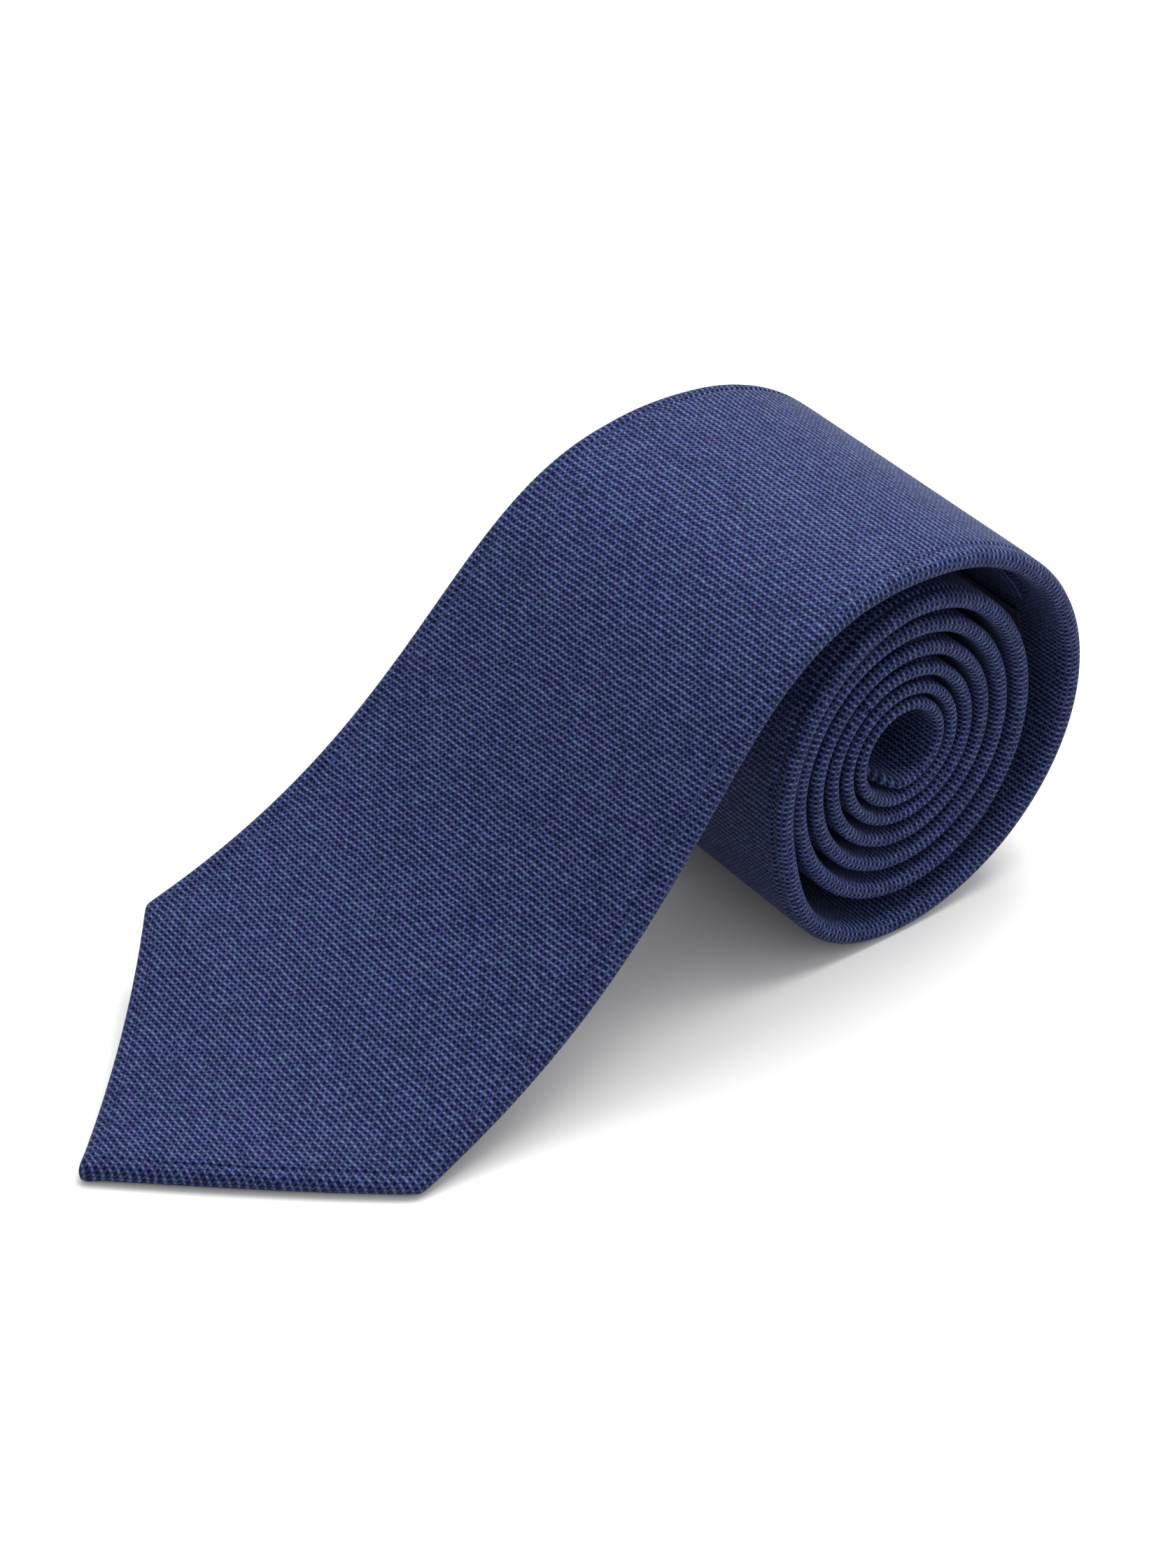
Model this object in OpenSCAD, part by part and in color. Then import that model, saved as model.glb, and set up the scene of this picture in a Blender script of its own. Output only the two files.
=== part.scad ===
// Necktie rolled up from its tail, with the front blade left lying over the roll onto a flat surface.
// X runs from the tip towards the roll, Y along the roll's axis and Z up from the surface. The origin is
// on the surface under the middle of the object. "Distance" is always measured along the tie from the tip.

/* [Front blade] */
// Width across the two corners of the front blade
blade_w = 80; // [74:0.5:84]
// Length of the point, from its corners to the tip
point_len = 43; // [38:0.5:46]
// Width lost for each millimetre between the corners and the neck
taper = 0.062; // [0.056:0.001:0.066]
// Lean that lifts the far corner off the surface, in degrees
corner_lean = 11.3; // [8:0.1:11.6]
// Width of the hems turned to the back round the point
hem_w = 9; // [7:0.5:12]

/* [Neck and tail] */
// Width of the neck
neck_w = 38; // [34:0.5:42]
// Width across the two corners of the tail blade
tail_w = 44; // [40:0.5:48]
// Length of the tail's point
tail_point_len = 21; // [18:0.5:24]
// Distance from the tip to the seam between front blade and neck
neck_seam_at = 560; // [500:5:620]
// Length of the tail piece
tail_len = 210; // [160:5:260]

/* [Thickness] */
// Thickness of the folded tie at the tip
tip_t = 4.4; // [4:0.1:4.5]
// Thickness of the folded tie at the tail
tail_t = 2.3; // [2:0.1:2.4]
// Share of the thickness that each layer of outer fabric takes
wall_share = 0.16; // [0.14:0.01:0.18]

/* [Free slope] */
// Height of the middle of the tie at the corners
foot_h = 9.3; // [9:0.1:10]
// Slope of the tie at the corners, in degrees
foot_slope = 18.7; // [17:0.1:20]
// How far the foot's slope carries up the blade
foot_pull = 75; // [70:1:80]
// How far the roll's slope carries down the blade
roll_pull = 55; // [50:1:60]
// Distance from the tip to the hinge line that the point curls about
tip_hinge_at = 98; // [90:1:110]
// Distance from the tip to the hinge line that the whole blade lifts about
lift_hinge_at = 168; // [160:1:175]
// Gap between two moving stretches at a hinge line
hinge_gap = 0.5; // [0.4:0.1:0.8]

/* [Roll] */
// Middle of the outermost turn, measured from the tip along X
outer_x = 155.6; // [154:0.2:158]
// Half width of the outermost turn
outer_rx = 41.1; // [40:0.1:42]
// Half height of the outermost turn
outer_rz = 40.2; // [39.5:0.1:41]
// Middle of the inner turns, measured from the tip along X
coil_x = 159; // [158.8:0.1:159.2]
// Height of the middle of the innermost turn
coil_z = 40.15; // [40.05:0.05:40.25]
// How much lower the middle lies for each turn outwards
coil_drop = 0.13; // [0.11:0.01:0.15]
// Width of the innermost turn as a share of its height
squeeze = 0.977; // [0.973:0.001:0.98]
// Share of the height that the width loses for each turn outwards
squeeze_loss = 0.02; // [0.019:0.0005:0.021]
// Radius of the innermost turn
core_r = 7.64; // [7.6:0.02:7.7]
// Pitch of the turns at the core
core_pitch = 2.93; // [2.92:0.01:2.95]
// Extra pitch for each turn outwards
pitch_gain = 0.277; // [0.275:0.001:0.28]

/* [Back of the blade] */
// Distance from the tip to the bar tack at the foot of the back seam
bar_tack_at = 122; // [116:1:130]
// Distance from the tip to the middle of the keeper loop
keeper_at = 222; // [215:1:230]
// Width of the keeper loop's strap
keeper_w = 14; // [10:1:16]
// Length of the keeper loop across the tie
keeper_span = 50; // [44:1:54]
// Spacing of the slip stitches along the back seam
stitch_pitch = 14; // [12:1:20]

/* [Hidden] */
navy = [0.12, 0.15, 0.34];
navy_dark = [0.09, 0.11, 0.27];
wool = [0.82, 0.80, 0.74];
satin = [0.14, 0.17, 0.36];
thread = [0.16, 0.20, 0.45];
tape = [0.20, 0.22, 0.30];

blunt_w = 4;              // width left at each tip
thin_len = 1000;          // distance over which the tie thins from the tip to the tail
near_edge = 31.5;         // where the near edge settles inside the roll
near_gain = 8.5;          // how much further out it lies at the corners
near_fade = 286;          // distance over which it comes in
leave_turn = 0.022;       // turn at which the outermost turn starts
ease_from = 0.42;         // turn at which the outermost turn starts to join the coil
ease_turns = 0.30;        // turns that it takes
core_turn = 6.6;          // turn at which the coil has its core radius
curl_turn = 6.64;         // turn at which the tail leaves the coil across the core
curl_end = [4, -3];       // where the tail's tip ends, from the middle of the coil
curl_dir = -50;           // direction in which it points
curl_pulls = [6, 7];      // how far the coil and the tail's tip each carry their direction into the curl
seam_gap = 0.8;           // length of a piecing seam
slit = 0.3;               // half of the slit between the two back folds
least_hem = 0.05;         // flat part of a back fold that is left at a tip
free_step = 5.5;          // spacing of the stations along the free stretch, which is twisted by its lean
blade_step = 11;          // their spacing at the start of the roll
tail_step = 3;            // their spacing at the tail
least_step = 0.4;         // shortest last step, as a share of the usual one
clear = 0.04;             // share of the thickness left free between layers
fold_share = 0.56;        // share of the thickness that the fold at each edge takes up
fold_most = 0.45;         // most that it reaches across the tie, as a share of the width
fold_round = [0.3, 0.7];  // its shoulders: share of its reach in from the edge, and of half its thickness out

bottom_at = 300;          // distance at which the outermost turn is lowest
side_at = 230;            // distance at which it reaches furthest along X
bottom_dip = 0.14;        // how far it drops below its own middle line as it starts to join the coil
side_trim = 0.17;         // how much the flat facets take off the box's length

outer_z = outer_rz + thickness(bottom_at) / 2 - bottom_dip;
mid_x = (outer_x + outer_rx + thickness(side_at) / 2 - side_trim) / 2;

// ---- centre line of the tie, in the XZ plane ----

function mix(a, b, k) = a + (b - a) * k;
function smooth(k) = let (c = min(max(k, 0), 1)) c * c * (3 - 2 * c);
function dir(a) = [cos(a), sin(a)];
function bezier(p, k) =
    pow(1 - k, 3) * p[0] + 3 * pow(1 - k, 2) * k * p[1] + 3 * (1 - k) * k * k * p[2] + pow(k, 3) * p[3];

// Turns are counted from the top of the roll: u is a number of turns inwards along it
function outer_turn(u) = [outer_x + outer_rx * sin(360 * u), outer_z + outer_rz * cos(360 * u)];
function coil_turn(u) = let (k = core_turn - u, r = core_r + core_pitch * k + pitch_gain * k * k)
    [coil_x + (squeeze - squeeze_loss * k) * r * sin(360 * u), coil_z - coil_drop * k + r * cos(360 * u)];
function turn(u) = mix(outer_turn(u), coil_turn(u), smooth((u - ease_from) / ease_turns));
function turn_dir(u) = let (v = turn(u + 0.001) - turn(u)) v / norm(v);

foot = [point_len, foot_h];
top = turn(leave_turn);
curl_from = turn(curl_turn);
curl_to = [coil_x, coil_z] + curl_end;
point_steps = 16;
slope_steps = 60;
turn_steps = 70;
curl_steps = 20;
point_bend = foot - point_len / 2 * dir(foot_slope);

point_line = [for (i = [0 : point_steps - 1]) let (k = i / point_steps)
    pow(1 - k, 2) * [0, tip_t / 2] + 2 * k * (1 - k) * point_bend + k * k * foot];
slope_ends = [foot, foot + foot_pull * dir(foot_slope), top - roll_pull * turn_dir(leave_turn), top];
slope_line = [for (i = [0 : slope_steps - 1]) bezier(slope_ends, i / slope_steps)];
coil_line = [for (u = [leave_turn : 1 / turn_steps : curl_turn - 0.5 / turn_steps]) turn(u)];
curl_ends = [curl_from, curl_from + curl_pulls[0] * turn_dir(curl_turn),
    curl_to - curl_pulls[1] * dir(curl_dir), curl_to];
curl_line = [for (i = [0 : curl_steps]) bezier(curl_ends, i / curl_steps)];
line = concat(point_line, slope_line, coil_line, curl_line);
last = len(line) - 1;
dist = [for (i = 0, d = 0; i <= last; d = d + norm(line[min(i + 1, last)] - line[i]), i = i + 1) d];
tie_len = dist[last];
line_x = [for (i = [0 : last]) [dist[i], line[i].x]];
line_z = [for (i = [0 : last]) [dist[i], line[i].y]];

function centre(d) = [lookup(d, line_x) - mid_x, lookup(d, line_z)];
function along(d) = let (v = centre(min(d + 1, tie_len)) - centre(max(d - 1, 0))) v / norm(v);

// ---- section of the tie at a distance from the tip ----

tail_corner = tie_len - tail_point_len;
tail_from = tie_len - tail_len;

function thickness(d) = tip_t - (tip_t - tail_t) * min(d / thin_len, 1);
function body_w(d) = max(blade_w - taper * (d - point_len), neck_w)
    + (tail_w - neck_w) * smooth((d - tail_from) / (tail_len - tail_point_len));
function width(d) =
    d < point_len ? max(blunt_w, blade_w * d / point_len)
    : d > tail_corner ? max(blunt_w, body_w(tail_corner) * (tie_len - d) / tail_point_len)
    : body_w(d);
function near_y(d) = -(near_edge + near_gain * exp(-(d - point_len) / near_fade));
function middle_y(d) = let (e = min(max(d, point_len), tail_corner)) near_y(e) + body_w(e) / 2;
function lean(d) = corner_lean
    * (d < point_len ? d / point_len : max(0, 1 - (d - point_len) / (lift_hinge_at - point_len)));
function slit_at(d) = let (open = width(d) / 2 - hem_w)
    d < point_len ? max(slit, open)
    : d < bar_tack_at ? mix(blade_w / 2 - hem_w, slit, (d - point_len) / (bar_tack_at - point_len))
    : d > tail_corner ? max(slit, width(d) / 2 - hem_w)
    : slit;

// ---- stations along the tie, where its solids have their rings ----

tip_end = tip_hinge_at - hinge_gap / 2;
slope_start = tip_hinge_at + hinge_gap / 2;
slope_end = lift_hinge_at - hinge_gap / 2;
roll_start = lift_hinge_at + hinge_gap / 2;
blade_end = neck_seam_at - seam_gap / 2;
neck_start = neck_seam_at + seam_gap / 2;
neck_end = tail_from - seam_gap / 2;
tail_start = tail_from + seam_gap / 2;
blunt_ends = [point_len * blunt_w / blade_w, tie_len - tail_point_len * blunt_w / tail_w];
breaks = [blunt_ends[0], point_len, tail_corner, blunt_ends[1]];

function step_at(d) = d < lift_hinge_at ? free_step : mix(blade_step, tail_step, min(d / thin_len, 1));
function first_break(d, to) = [for (c = breaks) if (c > d + 0.01 && c < to) c][0];
function next_stop(d, to) = let (n = d + step_at(d), b = first_break(d, min(n, to)))
    is_undef(b) ? (to - n < least_step * step_at(d) ? to : n) : b;
function stops(d, to) = d >= to ? [to] : concat([d], stops(next_stop(d, to), to));

stations = concat(stops(0, tip_end), stops(slope_start, slope_end), stops(roll_start, blade_end),
    stops(neck_start, neck_end), stops(tail_start, tie_len));
station_x = [for (d = stations) [d, centre(d).x]];
station_z = [for (d = stations) [d, centre(d).y]];
along_x = [for (d = stations) [d, along(d).x]];
along_z = [for (d = stations) [d, along(d).y]];

// A place on the tie: distance d, g across it from its middle, n out from its middle towards the front.
// Between two stations it runs straight, so that every layer and stitch keeps its gap from the cloth.
function place(d, g, n) = let (a = lean(d), out = n * cos(a) + g * sin(a))
    [lookup(d, station_x) - lookup(d, along_z) * out, middle_y(d) + g * cos(a) - n * sin(a),
     lookup(d, station_z) + lookup(d, along_x) * out];

// Outer fabric: a fold round both edges, open along the slit at the back
function shell_section(d) =
    let (t = thickness(d), h = width(d) / 2, r = min(t / 2, fold_most * width(d)), w = wall_share * t,
         f = h - r, s = min(slit_at(d), f - least_hem), b = t / 2,
         e = fold_round[0] * r, q = fold_round[1] * b)
    [[-s, -b], [-f, -b], [-h + e, -q], [-h, 0], [-h + e, q], [-f, b],
     [f, b], [h - e, q], [h, 0], [h - e, -q], [f, -b], [s, -b],
     [s, w - b], [f, w - b], [h - w, 0], [f, b - w], [-f, b - w], [w - h, 0], [-f, w - b], [-s, w - b]];

// A flat layer between two heights, given as shares of the thickness, clear of the folds at both edges
function layer_section(d, low, high) =
    let (t = thickness(d), h = width(d) / 2 - fold_share * t)
    [[-h, low * t], [-h, high * t], [0, high * t], [h, high * t], [h, low * t], [0, low * t]];

// ---- solids swept along the tie ----

// Distances of a solid's rings: its own two ends, and every station between them
function rings_at(from, to) = concat(from, [for (d = stations) if (d > from + 0.01 && d < to - 0.01) d], to);

// Two triangles between four corners. Both sides of a layer are split along the same diagonal, whatever way
// round they are listed, so that a twisted layer keeps its thickness.
function split(a, b, c, d, rising) = rising ? [[a, b, d], [a, d, c]] : [[a, b, c], [b, d, c]];

// Rings of points joined into a solid. Each end is closed by the convex faces listed in caps.
module sweep(rings, caps) {
    n = len(rings[0]);
    m = len(rings);
    polyhedron(
        points = [for (ring = rings) each ring],
        faces = concat(
            [for (c = caps) [for (i = [len(c) - 1 : -1 : 0]) c[i]]],
            [for (k = [0 : m - 2], i = [0 : n - 1])
                let (j = (i + 1) % n, a = k * n + i, b = k * n + j, rising = rings[k][j].y > rings[k][i].y)
                each split(a, b, a + n, b + n, rising)],
            [for (c = caps) [for (i = c) (m - 1) * n + i]]));
}

shell_caps = [[0, 1, 18, 19], [1, 2, 3, 17, 18], [3, 4, 5, 16, 17], [5, 6, 15, 16],
    [6, 7, 8, 14, 15], [8, 9, 10, 13, 14], [10, 11, 12, 13]];
layer_caps = [[0, 1, 2, 5], [2, 3, 4, 5]];
flat_caps = [[0, 1, 2, 3]];
strap_caps = [[0, 1, 2, 7], [2, 3, 6, 7], [3, 4, 5, 6]];
thread_caps = [[0, 1, 2, 3, 4, 5]];

// Points of a section, each given across and out, at a distance from the tip
function ring(d, section) = [for (p = section) place(d, p.x, p.y)];

module shell(from, to) sweep([for (d = rings_at(from, to)) ring(d, shell_section(d))], shell_caps);

module layer(from, to, low, high)
    sweep([for (d = rings_at(from, to)) ring(d, layer_section(d, low, high))], layer_caps);

// Heights of the layers, as shares of the thickness from the middle of the tie
lining_low = wall_share + clear - 0.5;
lining_high = lining_low + 0.1;
core_low = lining_high + clear;
core_high = 0.5 - wall_share - clear;
back_gap = 0.03;

// Stitches
thread_t = 0.22;          // height that a stitch stands off the cloth
stitch_w = 0.8;           // width of one stitch
slip_len = 3.2;           // length of a slip stitch, across the back seam
hem_len = 1.6;            // length of a hem stitch
hem_inset = 1.2;          // how far a hem stitch reaches on to the hem
tack_len = 8;             // length of a bar tack's stitches
tack_pitch = 1.2;         // spacing of a bar tack's stitches
tack_clear = 10;          // distance from a bar tack to the nearest slip stitch
hinge_clear = 5;          // distance from a hinge line to the nearest slip stitch

module filling(from, to) layer(from, to, core_low, core_high);
module lining(from, to) layer(from, to, lining_low, lining_high);

// Section of a flat piece behind the back of the tie, off it by a gap, w across it and t thick
function back_section(d, gap, g, w, t) =
    let (high = -thickness(d) / 2 - gap, low = high - t, g0 = g - w / 2, g1 = g + w / 2)
    [[g0, low], [g0, high], [g1, high], [g1, low]];

// One stitch lying on the back of the tie, from g - len / 2 to g + len / 2
module stitch(d, g, len)
    sweep([for (e = [d - stitch_w / 2, d + stitch_w / 2])
        ring(e, back_section(e, back_gap, g, len, thread_t))], flat_caps);

module slip_stitches(from, to)
    for (d = [from : stitch_pitch : to]) stitch(d, 0, slip_len);

module bar_tack(d)
    for (k = [-1 : 1]) stitch(d + tack_pitch * k, 0, tack_len);

module hem_stitches(from, to, count)
    for (k = [0 : count - 1], side = [-1, 1])
        let (d = mix(from, to, k / (count - 1)))
        stitch(d, side * (width(d) / 2 - hem_w + hem_inset - hem_len / 2), hem_len);

// ---- tip of the front blade ----

inside_tip = 7;           // distance from the tip at which its filling and lining start
lining_end = 140;         // distance from the tip at which its lining ends
hem_from = 14;            // distance from the tip to the first hem stitch
hem_to = 41;              // distance from the tip to the last one

module tip_shell() color(navy) shell(0, tip_end);
module tip_interlining() color(wool) filling(inside_tip, tip_end);
module tip_lining() color(satin) lining(inside_tip, tip_end);
module tip_hem_stitches() color(thread) hem_stitches(hem_from, hem_to, 6);

// ---- slope of the front blade ----

module slope_shell() color(navy) shell(slope_start, slope_end);
module slope_interlining() color(wool) filling(slope_start, slope_end);
module slope_lining() color(satin) lining(slope_start, lining_end);
module blade_bar_tack() color(thread) bar_tack(bar_tack_at);
module slope_slip_stitch() color(thread) slip_stitches(bar_tack_at + tack_clear, slope_end - hinge_clear);

// ---- roll ----

tail_tack_at = tail_corner - 22;
tail_lining_from = tail_corner - 30;
tail_hem_from = tail_corner + 1;
tail_hem_to = tail_corner + 6;
seam_clear = 0.02;        // gap between a piecing seam and the cloth on each side of it
strap_gap = 1.2;          // space between the keeper loop and the back of the blade
strap_t = 0.8;
label_t = 0.5;
label_gap = 0.34;         // space that a label leaves for the stitches under it
maker_label_size = [20, 42];
maker_label_at = keeper_at + 24;
care_label_size = [16, 24];
care_label_at = keeper_at - 22;
tack_off = 1;             // distance from the end of the keeper loop to the middle of its tack
loop_size = [5, 2.6];     // half length and half width of the slack thread loop
loop_r = 0.22;
loop_off = 0.55;          // how far its thread lies from the back of the tie

module roll_shell() color(navy) shell(roll_start, blade_end);
module roll_interlining() color(wool) filling(roll_start, blade_end);
module blade_neck_seam() color(navy_dark) shell(blade_end + seam_clear, neck_start - seam_clear);
module neck_shell() color(navy_dark) shell(neck_start, neck_end);
module neck_interlining() color(wool) filling(neck_start, neck_end);
module neck_tail_seam() color(navy_dark) shell(neck_end + seam_clear, tail_start - seam_clear);
module tail_shell() color(navy) shell(tail_start, tie_len);
module tail_interlining() color(wool) filling(tail_start, tie_len - inside_tip);
module tail_lining() color(satin) lining(tail_lining_from, tie_len - inside_tip);
module roll_slip_stitch() color(thread) slip_stitches(roll_start + hinge_clear, tail_tack_at - tack_clear);
module tail_bar_tack() color(thread) bar_tack(tail_tack_at);
module tail_hem_stitches() color(thread) hem_stitches(tail_hem_from, tail_hem_to, 3);

// Strap across the back, standing off it so that the tail can be threaded through
function strap_section(d) =
    let (h = keeper_span / 2, g = h - strap_t, foot = -thickness(d) / 2 - back_gap, low = foot - strap_gap,
         far = low - strap_t)
    [[-h, foot], [-g, foot], [-g, low], [g, low], [g, foot], [h, foot], [h, far], [-h, far]];

module keeper_loop() color(navy_dark)
    sweep([for (d = rings_at(keeper_at - keeper_w / 2, keeper_at + keeper_w / 2)) ring(d, strap_section(d))],
        strap_caps);

module keeper_tacks() color(thread)
    for (side = [-1, 1], k = [-1 : 1])
        stitch(keeper_at + k * keeper_w / 3, side * (keeper_span / 2 + tack_off), hem_len);

// Label of a given length along the tie and width across it
module label(at, size)
    sweep([for (d = rings_at(at - size.x / 2, at + size.x / 2))
        ring(d, back_section(d, label_gap, 0, size.y, label_t))], flat_caps);

module maker_label() color(tape) label(maker_label_at, maker_label_size);
module care_label() color("white") label(care_label_at, care_label_size);

// Spare end of the slip-stitch thread, left as a small open loop on the back
loop_at = tail_tack_at - loop_size.x - 2;
function loop_ring(a) = let (low = -thickness(loop_at) / 2 - loop_off)
    [for (q = [0 : 60 : 300]) let (k = 1 + loop_r * cos(q) / loop_size.x)
        place(loop_at + k * loop_size.x * cos(a), k * loop_size.y * sin(a), low + loop_r * sin(q))];

module slack_thread_loop() color(thread) sweep([for (a = [0 : 17 : 340]) loop_ring(a)], thread_caps);

tip_shell();
tip_interlining();
tip_lining();
tip_hem_stitches();
slope_shell();
slope_interlining();
slope_lining();
blade_bar_tack();
slope_slip_stitch();
roll_shell();
roll_interlining();
blade_neck_seam();
neck_shell();
neck_interlining();
neck_tail_seam();
tail_shell();
tail_interlining();
tail_lining();
roll_slip_stitch();
tail_bar_tack();
tail_hem_stitches();
keeper_loop();
keeper_tacks();
maker_label();
care_label();
slack_thread_loop();
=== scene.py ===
"""A navy necktie, rolled up from its tail, with its front blade left lying over the roll.

Lengths here are in millimetres until a mesh is made. "Distance" is measured along the tie from the tip of
the front blade, g is measured across it from its middle, and n out from its middle towards the front.
"""

import math

import bpy
import numpy as np
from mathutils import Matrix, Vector


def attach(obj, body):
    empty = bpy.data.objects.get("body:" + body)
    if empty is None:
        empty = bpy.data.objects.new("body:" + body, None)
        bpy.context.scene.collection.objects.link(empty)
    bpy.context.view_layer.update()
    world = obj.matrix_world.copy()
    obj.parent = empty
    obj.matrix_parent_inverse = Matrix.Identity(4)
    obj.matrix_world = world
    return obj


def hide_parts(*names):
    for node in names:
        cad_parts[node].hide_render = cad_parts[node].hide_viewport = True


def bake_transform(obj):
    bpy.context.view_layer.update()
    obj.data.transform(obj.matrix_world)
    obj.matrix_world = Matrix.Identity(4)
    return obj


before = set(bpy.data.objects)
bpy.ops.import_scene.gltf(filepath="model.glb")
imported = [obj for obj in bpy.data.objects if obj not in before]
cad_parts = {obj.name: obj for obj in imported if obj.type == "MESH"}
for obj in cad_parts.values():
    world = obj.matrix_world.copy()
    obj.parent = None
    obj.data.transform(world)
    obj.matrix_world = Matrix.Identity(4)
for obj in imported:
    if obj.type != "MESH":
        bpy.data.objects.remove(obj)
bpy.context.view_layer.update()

MM = 0.001

# ---- sizes, as in the CAD model ----

BLADE_W = 80.0            # width across the front blade's corners
POINT_LEN = 43.0          # length of its point
TAPER = 0.062             # width lost for each millimetre between the corners and the neck
CORNER_LEAN = 11.3        # lean that lifts the far corner off the surface, in degrees
HEM_W = 9.0               # width of the hems turned to the back round the points
NECK_W = 38.0             # width of the neck
TAIL_W = 44.0             # width across the tail's corners
TAIL_POINT_LEN = 21.0     # length of its point
NECK_SEAM_AT = 560.0      # where the seam between front blade and neck is
TAIL_LEN = 210.0          # length of the tail piece
TIP_T = 4.4               # thickness of the folded tie at the front tip
TAIL_T = 2.3              # its thickness at the tail
THIN_LEN = 1000.0         # distance over which it thins
FOOT_H = 9.3              # height of the middle of the tie at the front corners
FOOT_SLOPE = 18.7         # its slope there, in degrees
FOOT_PULL = 75.0          # how far the foot's slope carries up the blade
ROLL_PULL = 55.0          # how far the roll's slope carries down the blade
TIP_HINGE_AT = 98.0       # where the hinge line is that the point curls about
LIFT_HINGE_AT = 168.0     # where the hinge line is that the whole blade lifts about
OUTER_X = 155.6           # middle of the outermost turn, measured from the tip along X
OUTER_RX = 41.1           # its half width
OUTER_RZ = 40.2           # its half height
COIL_X = 159.0            # middle of the inner turns, measured from the tip along X
COIL_Z = 40.15            # height of the innermost turn's middle
COIL_DROP = 0.13          # how much lower the middle lies for each turn outwards
SQUEEZE = 0.977           # width of the innermost turn as a share of its height
SQUEEZE_LOSS = 0.02       # share of the height that the width loses for each turn outwards
CORE_R = 7.64             # radius of the innermost turn
CORE_PITCH = 2.93         # pitch of the turns at the core
PITCH_GAIN = 0.277        # extra pitch for each turn outwards
LEAVE_TURN = 0.022        # turn at which the outermost turn starts
EASE_FROM = 0.42          # turn at which it starts to join the coil
EASE_TURNS = 0.30         # turns that it takes
CORE_TURN = 6.6           # turn at which the coil has its core radius
CURL_TURN = 6.64          # turn at which the tail leaves the coil across the core
CURL_END = (4, -3)        # where the tail's tip ends, from the middle of the coil
CURL_DIR = -50.0          # direction in which it points, in degrees
CURL_PULLS = (6, 7)       # how far the coil and the tail's tip each carry their direction into the curl
BOTTOM_AT = 300.0         # distance at which the roll is lowest
BOTTOM_DIP = 0.14         # how far it drops there below its own middle line
SIDE_AT = 230.0           # distance at which the roll is furthest from the tip
SIDE_TRIM = 0.17          # how much the CAD model's flat facets take off its length
NEAR_EDGE = 31.5          # where the near edge settles inside the roll
NEAR_GAIN = 8.5           # how much further out it lies at the corners
NEAR_FADE = 286.0         # distance over which it comes in
BAR_TACK_AT = 122.0       # where the bar tack at the foot of the back seam is
TACK_OFF = 22.0           # how far the tail's bar tack is from its corners
STITCH_PITCH = 14.0       # spacing of the slip stitches along the back seam
KEEPER_AT = 222.0         # where the middle of the keeper loop is
KEEPER_W = 14.0           # width of its strap
KEEPER_SPAN = 50.0        # its length across the tie
STRAP_GAP = 1.2           # how far it stands off the tie

# ---- sizes that only the visual model has ----

CLOTH_T = 0.45            # thickness of the outer fabric
RIB_PITCH = 1.15          # spacing of its weave's ribs along the tie
BRIDGE_PITCH = 1.05       # spacing of the weave's bridges across the tie
END_GAP = 0.02            # how far the cloth's meshes stop from the two tips
LEAST = 0.02              # least width of the tie, and least half thickness of a fold
FOLD_LEN = 0.62           # length of the soft fold at each edge, as a share of the tie's thickness
MOST_FOLD = 0.9           # the most that it takes up at a tip, as a share of half the width
FOLD_POWER = 2.3          # 2 is an ellipse, and more is squarer
POINT_ROUND = 0.4         # rounding of the tip
CORNER_ROUND = 0.8        # rounding of the corners
NOSE_LEN = 1.8            # distance over which the tip's thickness closes
LAP = 3.0                 # how far one back fold lies over the other
LAP_EASE = 5.0            # distance over which it rises to do so
LAP_CLEAR = 0.05          # gap between the two
SLIT = 0.3                # half of the slit where the hems meet at a tip
LEAST_FLAP = 0.05         # flat part of a back fold that is left at a tip
TAIL_OPEN_LEN = 20.0      # distance over which the back folds open towards the tail's corners
CREASE_IN = 0.7           # how far in from each fold the front has a pressed crease
CREASE_W = 0.46           # half width of the crease
CREASE_DEPTH = 0.46       # depth of the crease
TIP_SPLIT_AT = 133.0      # where the blade's cloth is split, between the two hinges
ROLL_SPLIT_AT = 226.0     # where it is split again, on the roll
SEAM_SLANT = 0.55         # slope of the piecing seams
SEAM_FADE = 40.0          # distance over which rows of the mesh turn to follow them
ALLOWANCE = 5.5           # width of each piecing seam's allowance
LINING_BAND = (-0.34, -0.29)   # where the lining lies, as shares of the thickness from the middle
WOOL_BAND = (-0.2, 0.3)   # where the interlining lies
INSET = 0.56              # how far both stay inside the edges, as a share of the thickness
TIPPING_FROM = 7.0        # how far the two linings stop from the tips
TIPPING_TO = 140.0        # where the front lining ends
TAIL_TIPPING_LEN = 30.0   # how far the tail's lining runs on from its corners
WOOL_FROM = 6.0           # how far the interlining stops from the two tips
WOOL_GAP = 1.0            # gap in the interlining at a piecing seam
THREAD_R = 0.14           # radius of the sewing thread
TWIST_LEN = 1.1           # spacing of its two plies along it
TWIST_DEPTH = 0.22        # how far they stand out, as a share of the radius
FIBRE_PITCH = 0.5         # length in which its fibres wind once round it
SINK = 0.15               # how deep a stitch's ends sink into the cloth
SLIP_REACH = (1.4, 0.6)   # how far a slip stitch reaches on each side of the upper fold's edge
SLIP_PROUD = 0.55         # how far it stands off the cloth
TACK_HALF = (1.6, 4.2)    # half of a bar tack's size along and across the tie
TACK_PROUD = 0.62         # how far its stitches stand off the cloth
BINDING_HALF = (1.9, 3.6)      # the same two measures of the stitches that bind it
BINDING_PROUD = 0.95
HEM_REACH = (0.9, 0.7)    # how far a hem stitch reaches onto the lining and onto the hem
HEM_PROUD = 0.32          # how far it stands off the back
KEEPER_TACK_REACH = (1.2, 1.6)   # how far a keeper tack reaches onto the strap and onto the tie
STRAP_T = 0.8             # thickness of the keeper loop's strap
MAKER_LABEL = (20, 42)    # size of the maker's label along and across the tie
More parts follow.
